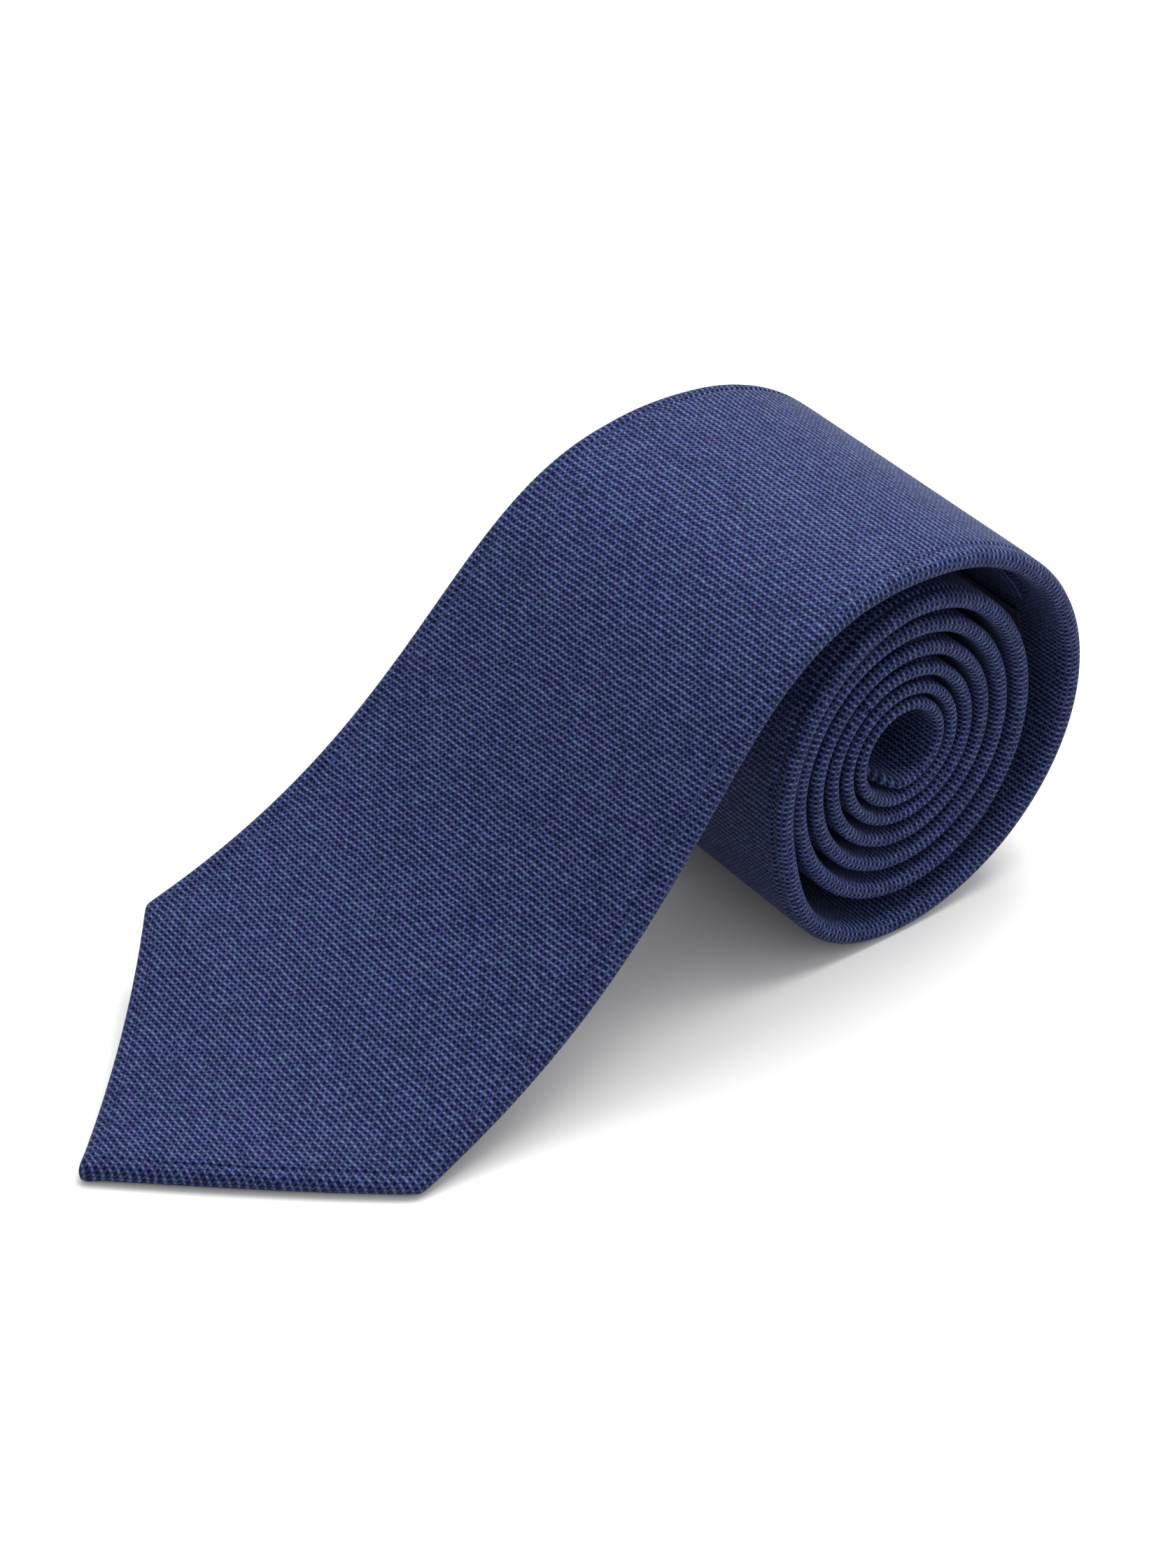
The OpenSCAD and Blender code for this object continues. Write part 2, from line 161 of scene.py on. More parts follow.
CARE_LABEL = (16, 24)     # size of the care label
LABEL_LIES = (0.12, 0.42)      # how far the inside and the outside of both are off the back

# ---- rows and columns of the meshes ----

NEAR_TIP = 1.5            # distance from a tip round which the rows of a mesh are closer
FINE_REACH = 4            # how far the closer rows reach on each side, there and at the corners
NARROW = 12               # half width of the flat front below which the columns at a crease close up
AFTER_CREASE = 1.4        # gap between them and the even columns
FLAP_COLS = 14            # columns across each back fold
FLAP_BIAS = 1.3           # how strongly they crowd towards the edge of the tie
FOLD_COLS = 9             # columns round each edge of the tie
FRONT_COLS = 34           # columns between the creases
CREASE_COLS = np.array([0, 0.28, 0.49, 0.7, 0.91, 1.15, 1.55, 2.3])   # columns over a crease, in from the fold
LAYER_STEP = 1.5          # spacing of rows in the layers inside the tie
LAYER_COLS = 24           # their columns
STITCH_POINTS = 9         # points along a stitch
THREAD_SIDES = 10         # sides of a thread
UNLIKE = (0.31, 0.17, 0.94)    # a direction that no thread follows


# ---- centre line of the tie, in the XZ plane ----

def mix(a, b, k):
    return a + (b - a) * k


def smooth(k):
    c = np.clip(k, 0, 1)
    return c * c * (3 - 2 * c)


def heading(degrees):
    return np.array([math.cos(math.radians(degrees)), math.sin(math.radians(degrees))])


def bezier(a, b, c, d, steps):
    k = np.linspace(0, 1, steps, endpoint=False)[:, None]
    return (1 - k) ** 3 * a + 3 * (1 - k) ** 2 * k * b + 3 * (1 - k) * k * k * c + k ** 3 * d


def thickness(d):
    return TIP_T - (TIP_T - TAIL_T) * np.minimum(d / THIN_LEN, 1)


OUTER_Z = OUTER_RZ + thickness(BOTTOM_AT) / 2 - BOTTOM_DIP
MID_X = (OUTER_X + OUTER_RX + thickness(SIDE_AT) / 2 - SIDE_TRIM) / 2


def turn(u):
    """Place on the roll after u turns."""
    a = 2 * np.pi * np.asarray(u, float)
    outer = np.stack([OUTER_X + OUTER_RX * np.sin(a), OUTER_Z + OUTER_RZ * np.cos(a)], -1)
    k = CORE_TURN - u
    r = CORE_R + CORE_PITCH * k + PITCH_GAIN * k * k
    coil_x = COIL_X + (SQUEEZE - SQUEEZE_LOSS * k) * r * np.sin(a)
    coil = np.stack([coil_x, COIL_Z - COIL_DROP * k + r * np.cos(a)], -1)
    return mix(outer, coil, smooth((u - EASE_FROM) / EASE_TURNS)[..., None])


def turn_dir(u):
    v = turn(u + 0.001) - turn(u)
    return v / np.linalg.norm(v)


def centre_line():
    """Fine polyline along the middle of the tie, from the front tip to the tail's tip."""
    foot = np.array([POINT_LEN, FOOT_H])
    tip = np.array([0, TIP_T / 2])
    top = turn(LEAVE_TURN)
    bend = foot - POINT_LEN / 2 * heading(FOOT_SLOPE)
    k = np.linspace(0, 1, 80, endpoint=False)[:, None]
    point = (1 - k) ** 2 * tip + 2 * k * (1 - k) * bend + k * k * foot
    slope = bezier(foot, foot + FOOT_PULL * heading(FOOT_SLOPE),
                   top - ROLL_PULL * turn_dir(LEAVE_TURN), top, 300)
    coil = turn(np.arange(LEAVE_TURN, CURL_TURN, 1 / 700))
    curl_from = turn(CURL_TURN)
    curl_to = np.array([COIL_X, COIL_Z]) + CURL_END
    curl = bezier(curl_from, curl_from + CURL_PULLS[0] * turn_dir(CURL_TURN),
                  curl_to - CURL_PULLS[1] * heading(CURL_DIR), curl_to, 80)
    return np.concatenate([point, slope, coil, curl, curl_to[None]])


LINE = centre_line()
DIST = np.r_[0, np.cumsum(np.linalg.norm(np.diff(LINE, axis=0), axis=1))]
TIE_LEN = DIST[-1]
TAIL_CORNER = TIE_LEN - TAIL_POINT_LEN
TAIL_FROM = TIE_LEN - TAIL_LEN
TAIL_TACK_AT = TAIL_CORNER - TACK_OFF


def centre(d):
    return np.stack([np.interp(d, DIST, LINE[:, 0]) - MID_X, np.interp(d, DIST, LINE[:, 1])], -1)


def along(d):
    v = centre(np.minimum(d + 1, TIE_LEN)) - centre(np.maximum(d - 1, 0))
    return v / np.linalg.norm(v, axis=-1, keepdims=True)


def body_w(d):
    widening = smooth((d - TAIL_FROM) / (TAIL_LEN - TAIL_POINT_LEN))
    return np.maximum(BLADE_W - TAPER * (d - POINT_LEN), NECK_W) + (TAIL_W - NECK_W) * widening


def point_w(d, length, corner_w):
    """Width of a point, d from its tip, which is a little rounded."""
    d = np.maximum(d, 0)
    return corner_w * np.sqrt(d * d + 2 * POINT_ROUND * d) / math.sqrt(length * (length + 2 * POINT_ROUND))


def rounded_min(a, b, radius):
    """The smaller of two widths, rounded where they are nearly the same."""
    return np.minimum(a, b) - radius * np.log1p(np.exp(-np.abs(a - b) / radius))


def width(d):
    front = point_w(d, POINT_LEN, BLADE_W)
    tail = point_w(TIE_LEN - d, TAIL_POINT_LEN, body_w(TAIL_CORNER))
    near_point = np.minimum(front, tail)
    return np.maximum(rounded_min(near_point, body_w(d), CORNER_ROUND), LEAST)


def middle_y(d):
    e = np.clip(d, POINT_LEN, TAIL_CORNER)
    return -(NEAR_EDGE + NEAR_GAIN * np.exp(-(e - POINT_LEN) / NEAR_FADE)) + body_w(e) / 2


def lean(d):
    falling = np.maximum(0, 1 - (d - POINT_LEN) / (LIFT_HINGE_AT - POINT_LEN))
    return np.radians(CORNER_LEAN) * np.where(d < POINT_LEN, d / POINT_LEN, falling)


def place(d, g, n):
    """Points at distance d, g across the tie and n out of its middle. The three are arrays of one shape."""
    c, t, a = centre(d), along(d), lean(d)
    out = n * np.cos(a) + g * np.sin(a)
    y = middle_y(d) + g * np.cos(a) - n * np.sin(a)
    return np.stack([c[..., 0] - t[..., 1] * out, y, c[..., 1] + t[..., 0] * out], -1)


def nose(d):
    """Share of the thickness that is left near each tip."""
    near = np.clip(np.minimum(d, TIE_LEN - d) / NOSE_LEN, 0, 1)
    return np.sqrt(1 - (1 - near) ** 2)


def slit_at(d):
    """Half of the opening between the two back folds. It is below zero where one lies over the other."""
    hem = np.maximum(width(d) / 2 - HEM_W, SLIT)
    spread = mix(BLADE_W / 2 - HEM_W, -LAP / 2, (d - POINT_LEN) / (BAR_TACK_AT - POINT_LEN))
    s = np.where(d < POINT_LEN, hem, np.where(d < BAR_TACK_AT, spread, -LAP / 2))
    opening = (d - TAIL_CORNER + TAIL_OPEN_LEN) / TAIL_OPEN_LEN
    return np.where(opening > 0, np.maximum(s, mix(-LAP / 2, hem, opening)), s)


# ---- meshes ----

def two_sided(name, outer, inner, uv, material):
    """A thin solid between two grids of points, outer and inner, with rows along the tie and columns across it.
    uv holds, for the grid, the distances along and across the cloth that its weave follows."""
    rows, cols = outer.shape[:2]
    points = np.concatenate([outer.reshape(-1, 3), inner.reshape(-1, 3)]) * MM
    number = np.arange(rows * cols).reshape(rows, cols)
    other = number + rows * cols

    def strip(a, b):
        return np.stack([a[:-1], a[1:], b[1:], b[:-1]], -1).reshape(-1, 4)

    rims = [strip(number[0], other[0]), strip(other[-1], number[-1]),
            strip(other[:, 0], number[:, 0]), strip(number[:, -1], other[:, -1])]
    faces = np.concatenate([strip(number[:, :-1], number[:, 1:]), strip(other.T[:, :-1], other.T[:, 1:]), *rims])
    mesh = bpy.data.meshes.new(name)
    mesh.vertices.add(len(points))
    mesh.vertices.foreach_set("co", points.ravel())
    mesh.loops.add(faces.size)
    mesh.loops.foreach_set("vertex_index", faces.ravel())
    mesh.polygons.add(len(faces))
    mesh.polygons.foreach_set("loop_start", np.arange(0, faces.size, 4))
    mesh.update(calc_edges=True)
    both = np.concatenate([uv.reshape(-1, 2), uv.reshape(-1, 2)])
    mesh.uv_layers.new(name="Weave").data.foreach_set("uv", both[faces.ravel()].ravel())
    mesh.validate()
    mesh.shade_smooth()
    sharpen_rims(mesh, number, other)
    mesh.materials.append(material)
    return shown(name, mesh)


def shown(name, data):
    """A new object in the scene that shows data."""
    obj = bpy.data.objects.new(name, data)
    bpy.context.scene.collection.objects.link(obj)
    return obj


def sharpen_rims(mesh, number, other):
    """Marks the loops of edges round both sides as sharp, so that the rims don't bend the shading of the cloth."""
    rim = np.zeros(len(mesh.vertices), np.int8)
    for k, side in enumerate(((number[0], other[0]), (number[-1], other[-1]),
                              (number[:, 0], other[:, 0]), (number[:, -1], other[:, -1]))):
        for grid in side:
            rim[grid] |= 1 << k
    ends = np.zeros(len(mesh.edges) * 2, np.int32)
    mesh.edges.foreach_get("vertices", ends)
    ends = ends.reshape(-1, 2)
    one_side = (ends[:, 0] < number.size) == (ends[:, 1] < number.size)
    sharp = one_side & ((rim[ends[:, 0]] & rim[ends[:, 1]]) > 0)
    flags = mesh.attributes.get("sharp_edge") or mesh.attributes.new("sharp_edge", "BOOLEAN", "EDGE")
    flags.data.foreach_set("value", sharp)


def stations(start, end, step, extra=()):
    """Distances from start to end, at most step apart, closer round each of extra."""
    d = np.linspace(start, end, max(2, math.ceil((end - start) / step) + 1))
    fine = [np.arange(-FINE_REACH, FINE_REACH + 0.01, step / 3) + c for c in extra]
    both = np.unique(np.round(np.concatenate([d, *fine]), 4))
    return both[(both >= start) & (both <= end)]


def front_columns(flat):
    """Places across the front, which is flat to each side of its middle: close together over the creases."""
    close_up = np.minimum(1, flat / NARROW)
    side = flat - CREASE_COLS * close_up
    least = (CREASE_COLS[-1] + AFTER_CREASE) * close_up / (2 * flat)
    even = mix(least, 1 - least, np.linspace(0, 1, FRONT_COLS + 1))
    return np.concatenate([-side, mix(-flat, flat, even), side[:, ::-1]], 1)


def wrap(d, inset):
    """The cloth folded round the tie, inset from its outside: g, n and the distance across the cloth, for each
    distance in d. Columns run from one edge at the back, round the front, to the other edge at the back."""
    d = d[:, None]
    h = width(d) / 2
    t = thickness(d) * nose(d)
    fold = np.minimum(FOLD_LEN * thickness(d), MOST_FOLD * h)
    flat = h - fold
    half = np.maximum(t / 2 - inset, LEAST)
    reach = np.maximum(fold - inset, LEAST)
    slit = np.minimum(slit_at(d), flat - LEAST_FLAP)
    k = 1 - (1 - np.linspace(0, 1, FLAP_COLS, endpoint=False)) ** FLAP_BIAS
    phi = np.linspace(-np.pi / 2, np.pi / 2, FOLD_COLS + 1)[:-1]
    power = 2 / FOLD_POWER
    fold_g = flat + reach * np.abs(np.cos(phi)) ** power
    fold_n = half * np.sign(np.sin(phi)) * np.abs(np.sin(phi)) ** power
    front = front_columns(flat)
    dip = CREASE_DEPTH * np.exp(-((flat - np.abs(front) - CREASE_IN) / CREASE_W) ** 2)
    rise = (CLOTH_T + LAP_CLEAR) * smooth(0.5 - mix(slit, flat, k[::-1]) / LAP_EASE)
    back = -half + 0 * k
    g = [-mix(slit, flat, k), -fold_g, front, fold_g[:, ::-1], mix(flat, slit, k + (1 - k[-1]))]
    n = [back, fold_n, half - dip, fold_n[:, ::-1], back - rise]
    g, n = np.concatenate(g, 1), np.concatenate(n, 1)
    steps = np.hypot(np.diff(g, axis=1), np.diff(n, axis=1))
    across = np.concatenate([np.zeros_like(h), np.cumsum(steps, 1)], 1)
    middle = across.shape[1] // 2
    return g, n, across - across[:, middle:middle + 1]


def slanted(d, g, seams):
    """Distances of the mesh's points, with the rows near each piecing seam turned to run along it."""
    out = d[:, None] + 0 * g
    for seam in seams:
        out = out + SEAM_SLANT * g * (1 - smooth(np.abs(d[:, None] - seam) / SEAM_FADE))
    return out


# ---- materials ----

class Weaver:
    """Builds one material's nodes."""

    def __init__(self, name):
        self.material = bpy.data.materials.new(name)
        self.material.use_nodes = True
        self.tree = self.material.node_tree
        self.shader = self.tree.nodes["Principled BSDF"]

    def node(self, kind, **settings):
        made = self.tree.nodes.new(kind)
        for key, value in settings.items():
            setattr(made, key, value)
        return made

    def put(self, value, socket):
        if isinstance(value, bpy.types.NodeSocket):
            self.tree.links.new(value, socket)
        else:
            socket.default_value = value

    def math(self, operation, *values):
        made = self.node("ShaderNodeMath", operation=operation)
        for value, socket in zip(values, made.inputs):
            self.put(value, socket)
        return made.outputs[0]

    def add(self, a, b):
        return self.math("ADD", a, b)

    def minus(self, a, b):
        return self.math("SUBTRACT", a, b)

    def times(self, a, b):
        return self.math("MULTIPLY", a, b)

    def whole(self, k):
        return self.math("FLOOR", k)

    def fraction(self, k):
        return self.math("FRACT", k)

    def wave(self, k):
        """1 at whole numbers and 0 halfway between them."""
        return self.math("MULTIPLY_ADD", self.math("COSINE", self.times(k, 2 * math.pi)), 0.5, 0.5)

    def hill(self, k):
        """0 at both ends of 0 to 1, and 1 in the middle."""
        return self.times(self.times(k, self.minus(1.0, k)), 4.0)

    def vector(self, x, y, z=0.0):
        made = self.node("ShaderNodeCombineXYZ")
        for value, socket in zip((x, y, z), made.inputs):
            self.put(value, socket)
        return made.outputs[0]

    def cloth_place(self):
        """Distances along and across the cloth, in millimetres, from the mesh's UV map."""
        uv = self.node("ShaderNodeUVMap", uv_map="Weave")
        apart = self.node("ShaderNodeSeparateXYZ")
        self.put(uv.outputs[0], apart.inputs[0])
        return apart.outputs[0], apart.outputs[1]

    def noise_node(self, where, scale, detail):
        made = self.node("ShaderNodeTexNoise")
        self.put(where, made.inputs["Vector"])
        made.inputs["Scale"].default_value = scale
        made.inputs["Detail"].default_value = detail
        return made

    def noise(self, where, scale, detail):
        return self.noise_node(where, scale, detail).outputs[0]

    def white(self, where):
        made = self.node("ShaderNodeTexWhiteNoise", noise_dimensions="3D")
        self.put(where, made.inputs["Vector"])
        return made.outputs[0]

    def mix(self, k, a, b):
        made = self.node("ShaderNodeMix", data_type="FLOAT")
        self.put(k, made.inputs[0])
        self.put(a, made.inputs[2])
        self.put(b, made.inputs[3])
        return made.outputs[0]

    def ramp(self, k, *stops):
        made = self.node("ShaderNodeValToRGB")
        elements = made.color_ramp.elements
        while len(elements) < len(stops):
            elements.new(0.5)
        for element, (position, colour) in zip(elements, stops):
            element.position = position
            element.color = (*colour, 1)
        self.put(k, made.inputs[0])
        return made.outputs[0]

    def finish(self, colour, height, depth, roughness, sheen, tint, specular):
        """Joins the colour and the relief, which is depth deep in millimetres, to the shader."""
        self.put(colour, self.shader.inputs["Base Color"])
        bump = self.node("ShaderNodeBump")
        bump.inputs["Strength"].default_value = 1.0
        bump.inputs["Distance"].default_value = depth * MM
        self.put(height, bump.inputs["Height"])
        self.put(bump.outputs[0], self.shader.inputs["Normal"])
        self.shader.inputs["Roughness"].default_value = roughness
        self.shader.inputs["Sheen Weight"].default_value = sheen
        self.shader.inputs["Sheen Roughness"].default_value = 0.45
        self.shader.inputs["Sheen Tint"].default_value = (*tint, 1)
        self.shader.inputs["Specular IOR Level"].default_value = specular
        self.shader.inputs["Specular Tint"].default_value = (*tint, 1)
        return self.material


def diagonal_weave(name, shaded_tones, depth, roughness, sheen, specular):
    """Cloth cut on the bias. Two sets of threads cross at 45 degrees to the tie, and where one set's floats line
    up they stand out as ribs across the tie, with flatter bridges between them along it and pits in between.
    The colours passed in run from the pits to the tops of the ribs, each with the height at which it comes: the
    dark end is painted shade in the pits and the light end a painted highlight on the rib tops, over the navy of
    the threads."""
    w = Weaver(name)
    d, v = w.cloth_place()
    where = w.vector(d, v)

    # Ribs and bridges, counted along and across the tie, which wander a little
    drift = w.node("ShaderNodeSeparateColor")
    w.put(w.noise_node(where, 0.22, 2.0).outputs["Color"], drift.inputs[0])
    a = w.times(w.add(d, drift.outputs[0]), 1 / RIB_PITCH)
    b = w.times(w.add(v, drift.outputs[1]), 1 / BRIDGE_PITCH)
    pit = w.times(w.minus(1.0, w.wave(a)), w.minus(1.0, w.times(w.wave(b), 0.75)))
    lattice = w.minus(1.0, pit)

    # Threads, counted by p and q across the two sets, with each set on top in every other cell
    p, q = w.minus(a, b), w.add(a, b)
    ip, iq = w.whole(p), w.whole(q)
    weft_up = w.times(w.fraction(w.times(w.add(ip, iq), 0.5)), 2.0)
    hill_p, hill_q = w.hill(w.fraction(p)), w.hill(w.fraction(q))
    weft = w.times(w.math("POWER", hill_q, 0.7), w.add(0.5, w.times(hill_p, 0.5)))
    warp = w.times(w.math("POWER", hill_p, 0.7), w.add(0.32, w.times(hill_q, 0.35)))
    thread = w.mix(weft_up, warp, weft)
    fibres = w.mix(weft_up, w.noise(w.vector(w.times(p, 5.0), w.times(q, 1.2)), 1.0, 3.0),
                   w.noise(w.vector(w.times(p, 1.2), w.times(q, 5.0)), 1.0, 3.0))

    # Tone: painted shade in the pits and at the threads' sides and a painted highlight on their tops, all from
    # the weave's relief, then fibres, cells and large patches that differ a little
    cell = w.white(w.vector(ip, iq))
    patch = w.noise(where, 0.09, 3.0)
    tone = w.times(lattice, w.add(0.56, w.times(thread, 0.44)))
    for part, weight in ((fibres, 0.42), (cell, 0.2), (patch, 0.08)):
        tone = w.add(tone, w.times(w.minus(part, 0.5), weight))

    # Hue: warp and weft differ, and a few cells are dyed more teal or more plum
    hue = w.white(w.vector(ip, iq, 5.0))
    teal, plum = w.math("GREATER_THAN", hue, 0.86), w.math("LESS_THAN", hue, 0.12)
    turned = w.minus(w.times(plum, 0.02), w.times(teal, 0.02))
    dyed = w.node("ShaderNodeHueSaturation")
    w.put(w.ramp(tone, *shaded_tones), dyed.inputs["Color"])
    w.put(w.add(w.add(0.488, w.times(weft_up, 0.02)), turned), dyed.inputs["Hue"])

    relief = w.add(w.add(w.times(lattice, 0.6), w.times(thread, 0.4)), w.times(fibres, 0.25))
    return w.finish(dyed.outputs[0], relief, depth, roughness, sheen, (0.6, 0.68, 1.0), specular)


def satin(name, dark, light, pitch, depth, roughness, sheen, specular):
    """Close smooth weave with fine threads across the tie, pitch apart."""
    w = Weaver(name)
    d, v = w.cloth_place()
    threads_along = w.times(d, 1 / pitch)
    floats = w.fraction(w.add(w.times(v, 0.25 / pitch), w.times(w.whole(threads_along), 0.4)))
    bind = w.math("SMOOTH_MIN", w.times(floats, 6.0), 1.0, 0.2)
    height = w.times(w.hill(w.fraction(threads_along)), bind)
    slub = w.noise(w.vector(w.times(d, 3.0), w.times(v, 0.4)), 1.0, 3.0)
    tone = w.add(w.times(height, 0.6), w.times(slub, 0.5))
    colour = w.ramp(tone, (0.1, dark), (0.95, light))
    return w.finish(colour, height, depth, roughness, sheen, (0.6, 0.7, 1.0), specular)


def brushed_wool():
    """Undyed wool with a soft nap and hairs across the tie."""
    w = Weaver("brushed_wool")
    d, v = w.cloth_place()
    fuzz = w.noise(w.vector(d, v), 1.4, 6.0)
    hair = w.noise(w.vector(w.times(d, 4.0), w.times(v, 0.7)), 1.0, 4.0)
    tone = w.add(w.times(fuzz, 0.6), w.times(hair, 0.4))
    colour = w.ramp(tone, (0.3, (0.24, 0.21, 0.165)), (0.7, (0.42, 0.395, 0.35)))
    return w.finish(colour, tone, depth=0.3, roughness=0.95, sheen=0.3, tint=(1.0, 0.95, 0.85), specular=0.15)


def sewing_thread():
    """Thread whose fibres wind round it. Its mesh has the distance along it and the share of a turn round it."""
    w = Weaver("sewing_thread")
    s, round_it = w.cloth_place()
    ply = w.math("SINE", w.add(w.times(s, 2 * math.pi / FIBRE_PITCH), w.times(round_it, 2 * math.pi)))
    hair = w.noise(w.vector(s, w.times(round_it, 9.0)), 3.0, 3.0)
    colour = w.ramp(w.add(w.times(ply, 0.3), w.times(hair, 0.9)),
                    (0.1, (0.005, 0.007, 0.027)), (0.9, (0.024, 0.031, 0.105)))
    return w.finish(colour, ply, depth=0.05, roughness=0.5, sheen=0.1, tint=(0.8, 0.85, 1.0), specular=0.3)


# Navy colours from the pits to the rib tops: the dark end is painted shade and the light end a painted highlight
NAVY_SHADED_TONES = (
    (0.05, (0.0005, 0.0011, 0.0072)), (0.36, (0.0040, 0.0064, 0.0282)), (0.56, (0.0110, 0.0156, 0.0513)),
    (0.72, (0.0233, 0.0310, 0.0865)), (0.93, (0.067, 0.084, 0.195)))
NAVY = diagonal_weave("navy_cloth", NAVY_SHADED_TONES, depth=0.10, roughness=0.6, sheen=0.03, specular=0.06)
LINING = satin("navy_lining", dark=(0.0035, 0.0055, 0.026), light=(0.013, 0.019, 0.074), pitch=0.24, depth=0.03,
               roughness=0.5, sheen=0.02, specular=0.1)
TAPE = satin("dark_tape", dark=(0.005, 0.0055, 0.01), light=(0.02, 0.022, 0.038), pitch=0.4, depth=0.05,
             roughness=0.5, sheen=0.05, specular=0.3)
WHITE_TAPE = satin("white_tape", dark=(0.30, 0.30, 0.29), light=(0.48, 0.48, 0.47), pitch=0.35, depth=0.04,
                   roughness=0.55, sheen=0.05, specular=0.3)
WOOL = brushed_wool()
THREAD = sewing_thread()


# ---- pieces made of thread ----

def threads(name, runs):
    """One mesh of twisted threads, each along a run of points. A point is its distance, g and n."""
    phi = np.linspace(0, 2 * np.pi, THREAD_SIDES, endpoint=False)
    points, faces, uvs = [], [], []
    for run in runs:
        path = place(*run.T)
        tangent = np.gradient(path, axis=0)
        tangent /= np.linalg.norm(tangent, axis=1, keepdims=True)
        side = np.cross(tangent, UNLIKE)
        side /= np.linalg.norm(side, axis=1, keepdims=True)
        up = np.cross(side, tangent)
        s = np.r_[0, np.cumsum(np.linalg.norm(np.diff(path, axis=0), axis=1))]
        plies = 1 + TWIST_DEPTH * np.cos(2 * (phi[None] - 2 * np.pi * s[:, None] / TWIST_LEN / 2))
        ring = path[:, None] + THREAD_R * plies[..., None] * (
            np.cos(phi)[None, :, None] * side[:, None] + np.sin(phi)[None, :, None] * up[:, None])
        base = sum(len(x) for x in points)
        points.append(ring.reshape(-1, 3))
        number = base + np.arange(len(path) * THREAD_SIDES).reshape(-1, THREAD_SIDES)
        after = np.roll(number, -1, axis=1)
        faces += np.stack([number[:-1], number[1:], after[1:], after[:-1]], -1).reshape(-1, 4).tolist()
        faces += [number[0].tolist(), number[-1, ::-1].tolist()]
        uvs.append(np.stack([np.repeat(s, THREAD_SIDES), np.tile(phi / (2 * np.pi), len(s))], -1))
    mesh = bpy.data.meshes.new(name)
    mesh.from_pydata((np.concatenate(points) * MM).tolist(), [], faces)
    flat = np.concatenate(uvs)
    index = np.zeros(len(mesh.loops), np.int32)
    mesh.loops.foreach_get("vertex_index", index)
    mesh.uv_layers.new(name="Weave").data.foreach_set("uv", flat[index].ravel())
    mesh.shade_smooth()
    mesh.materials.append(THREAD)
    return shown(name, mesh)


def back_n(d, off):
    """n of something that stands off the back of the tie."""
    return -thickness(d) / 2 - off


def cross_stitch(d, g0, g1, skew, proud):
    """A stitch across the back from g0 to g1, which dips into the cloth at both ends."""
    k = np.linspace(0, 1, STITCH_POINTS)
    off = proud * (1 - (2 * k - 1) ** 4) - SINK
    return np.stack([d + skew * (k - 0.5), mix(g0, g1, k), back_n(d, off)], -1)


def slip_stitches(name, start, end):
    """The stitches that close the back seam, each over the edge of the upper fold."""
    edge = -LAP / 2
    return threads(name, [cross_stitch(d, edge - SLIP_REACH[0], SLIP_REACH[1] + edge, 1.2, CLOTH_T + SLIP_PROUD)
                          for d in np.arange(start, end + 0.01, STITCH_PITCH)])


def bar_tack(name, at):
    """A bar of close stitches across the back seam, bound together by short ones along it."""
    half_l, half_w = TACK_HALF
    lines = [cross_stitch(at + k, -half_w, half_w, 0.25 * math.sin(9 * k),
                          CLOTH_T + TACK_PROUD + 0.1 * math.cos(5 * k))
             for k in np.linspace(-half_l, half_l, 11)]
    half_l, half_w = BINDING_HALF
    arch = (CLOTH_T + BINDING_PROUD) * (1 - np.linspace(-1, 1, STITCH_POINTS) ** 4) - 0.1
    along_it = at + np.linspace(-half_l, half_l, STITCH_POINTS)
    bindings = [np.stack([along_it, np.full(STITCH_POINTS, g), back_n(at, arch)], -1)
                for g in np.linspace(-half_w, half_w, 13)]
    return threads(name, lines + bindings)


def hem_stitches(name, start, end, count):
    """Stitches along both edges of the lining, where it meets the hems of a point."""
    runs = []
    for side in (-1, 1):
        for d in np.linspace(start, end, count):
            g = side * (width(d) / 2 - HEM_W)
            runs.append(cross_stitch(d, g - side * HEM_REACH[0], g + side * HEM_REACH[1], 0.8, HEM_PROUD))
    return threads(name, runs)


def keeper_tacks(name):
    """Stitches side by side along both ends of the keeper loop."""
    onto_strap, onto_tie = KEEPER_SPAN / 2 - KEEPER_TACK_REACH[0], KEEPER_SPAN / 2 + KEEPER_TACK_REACH[1]
    return threads(name, [cross_stitch(KEEPER_AT + k, side * onto_strap, side * onto_tie, 0.3, 1.0)
                          for side in (-1, 1) for k in np.linspace(-6, 6, 9)])


def thread_loop(name, at, half_len, half_w):
    """A loose end of thread that lies on the back in a loop, which isn't quite closed."""
    a = np.linspace(0, math.radians(340), 60)
    run = [at + half_len * np.cos(a), half_w * np.sin(a), np.full(len(a), back_n(at, 0.55))]
    return threads(name, [np.stack(run, -1)])


# ---- pieces made of cloth ----

def folded_w(d):
    """Width of the outer fabric before it is folded round the tie."""
    _, _, v = wrap(d, 0.0)
    return v[:, -1] - v[:, 0]


def layer_w(d):
    """Width of a layer inside the tie."""
    return width(d) - 2 * INSET * thickness(d)


def soft_edge(count, power):
    """Shares of a layer's thickness at count places across it, which fall towards its two edges."""
    return np.sqrt(1 - (0.97 * np.linspace(-1, 1, count)) ** power)


def declare(piece, start, end, across):
    """Works out a piece's flat width from across at each distance from start to end, which nothing uses, and
    returns the piece unchanged.
    """
    flat_w = across(np.linspace(start, end, 200))
    return piece


def cloth(name, start, end, step, seams=(), extra=()):
    """The outer fabric from one distance to another."""
    d = stations(start, end, step, extra)
    g, n, v = wrap(d, 0.0)
    g_in, n_in, _ = wrap(d, CLOTH_T)
    rows = slanted(d, g, seams)
    piece = two_sided(name, place(rows, g, n), place(slanted(d, g_in, seams), g_in, n_in),
                      np.stack([rows, v], -1), NAVY)
    return declare(piece, start, end, folded_w)


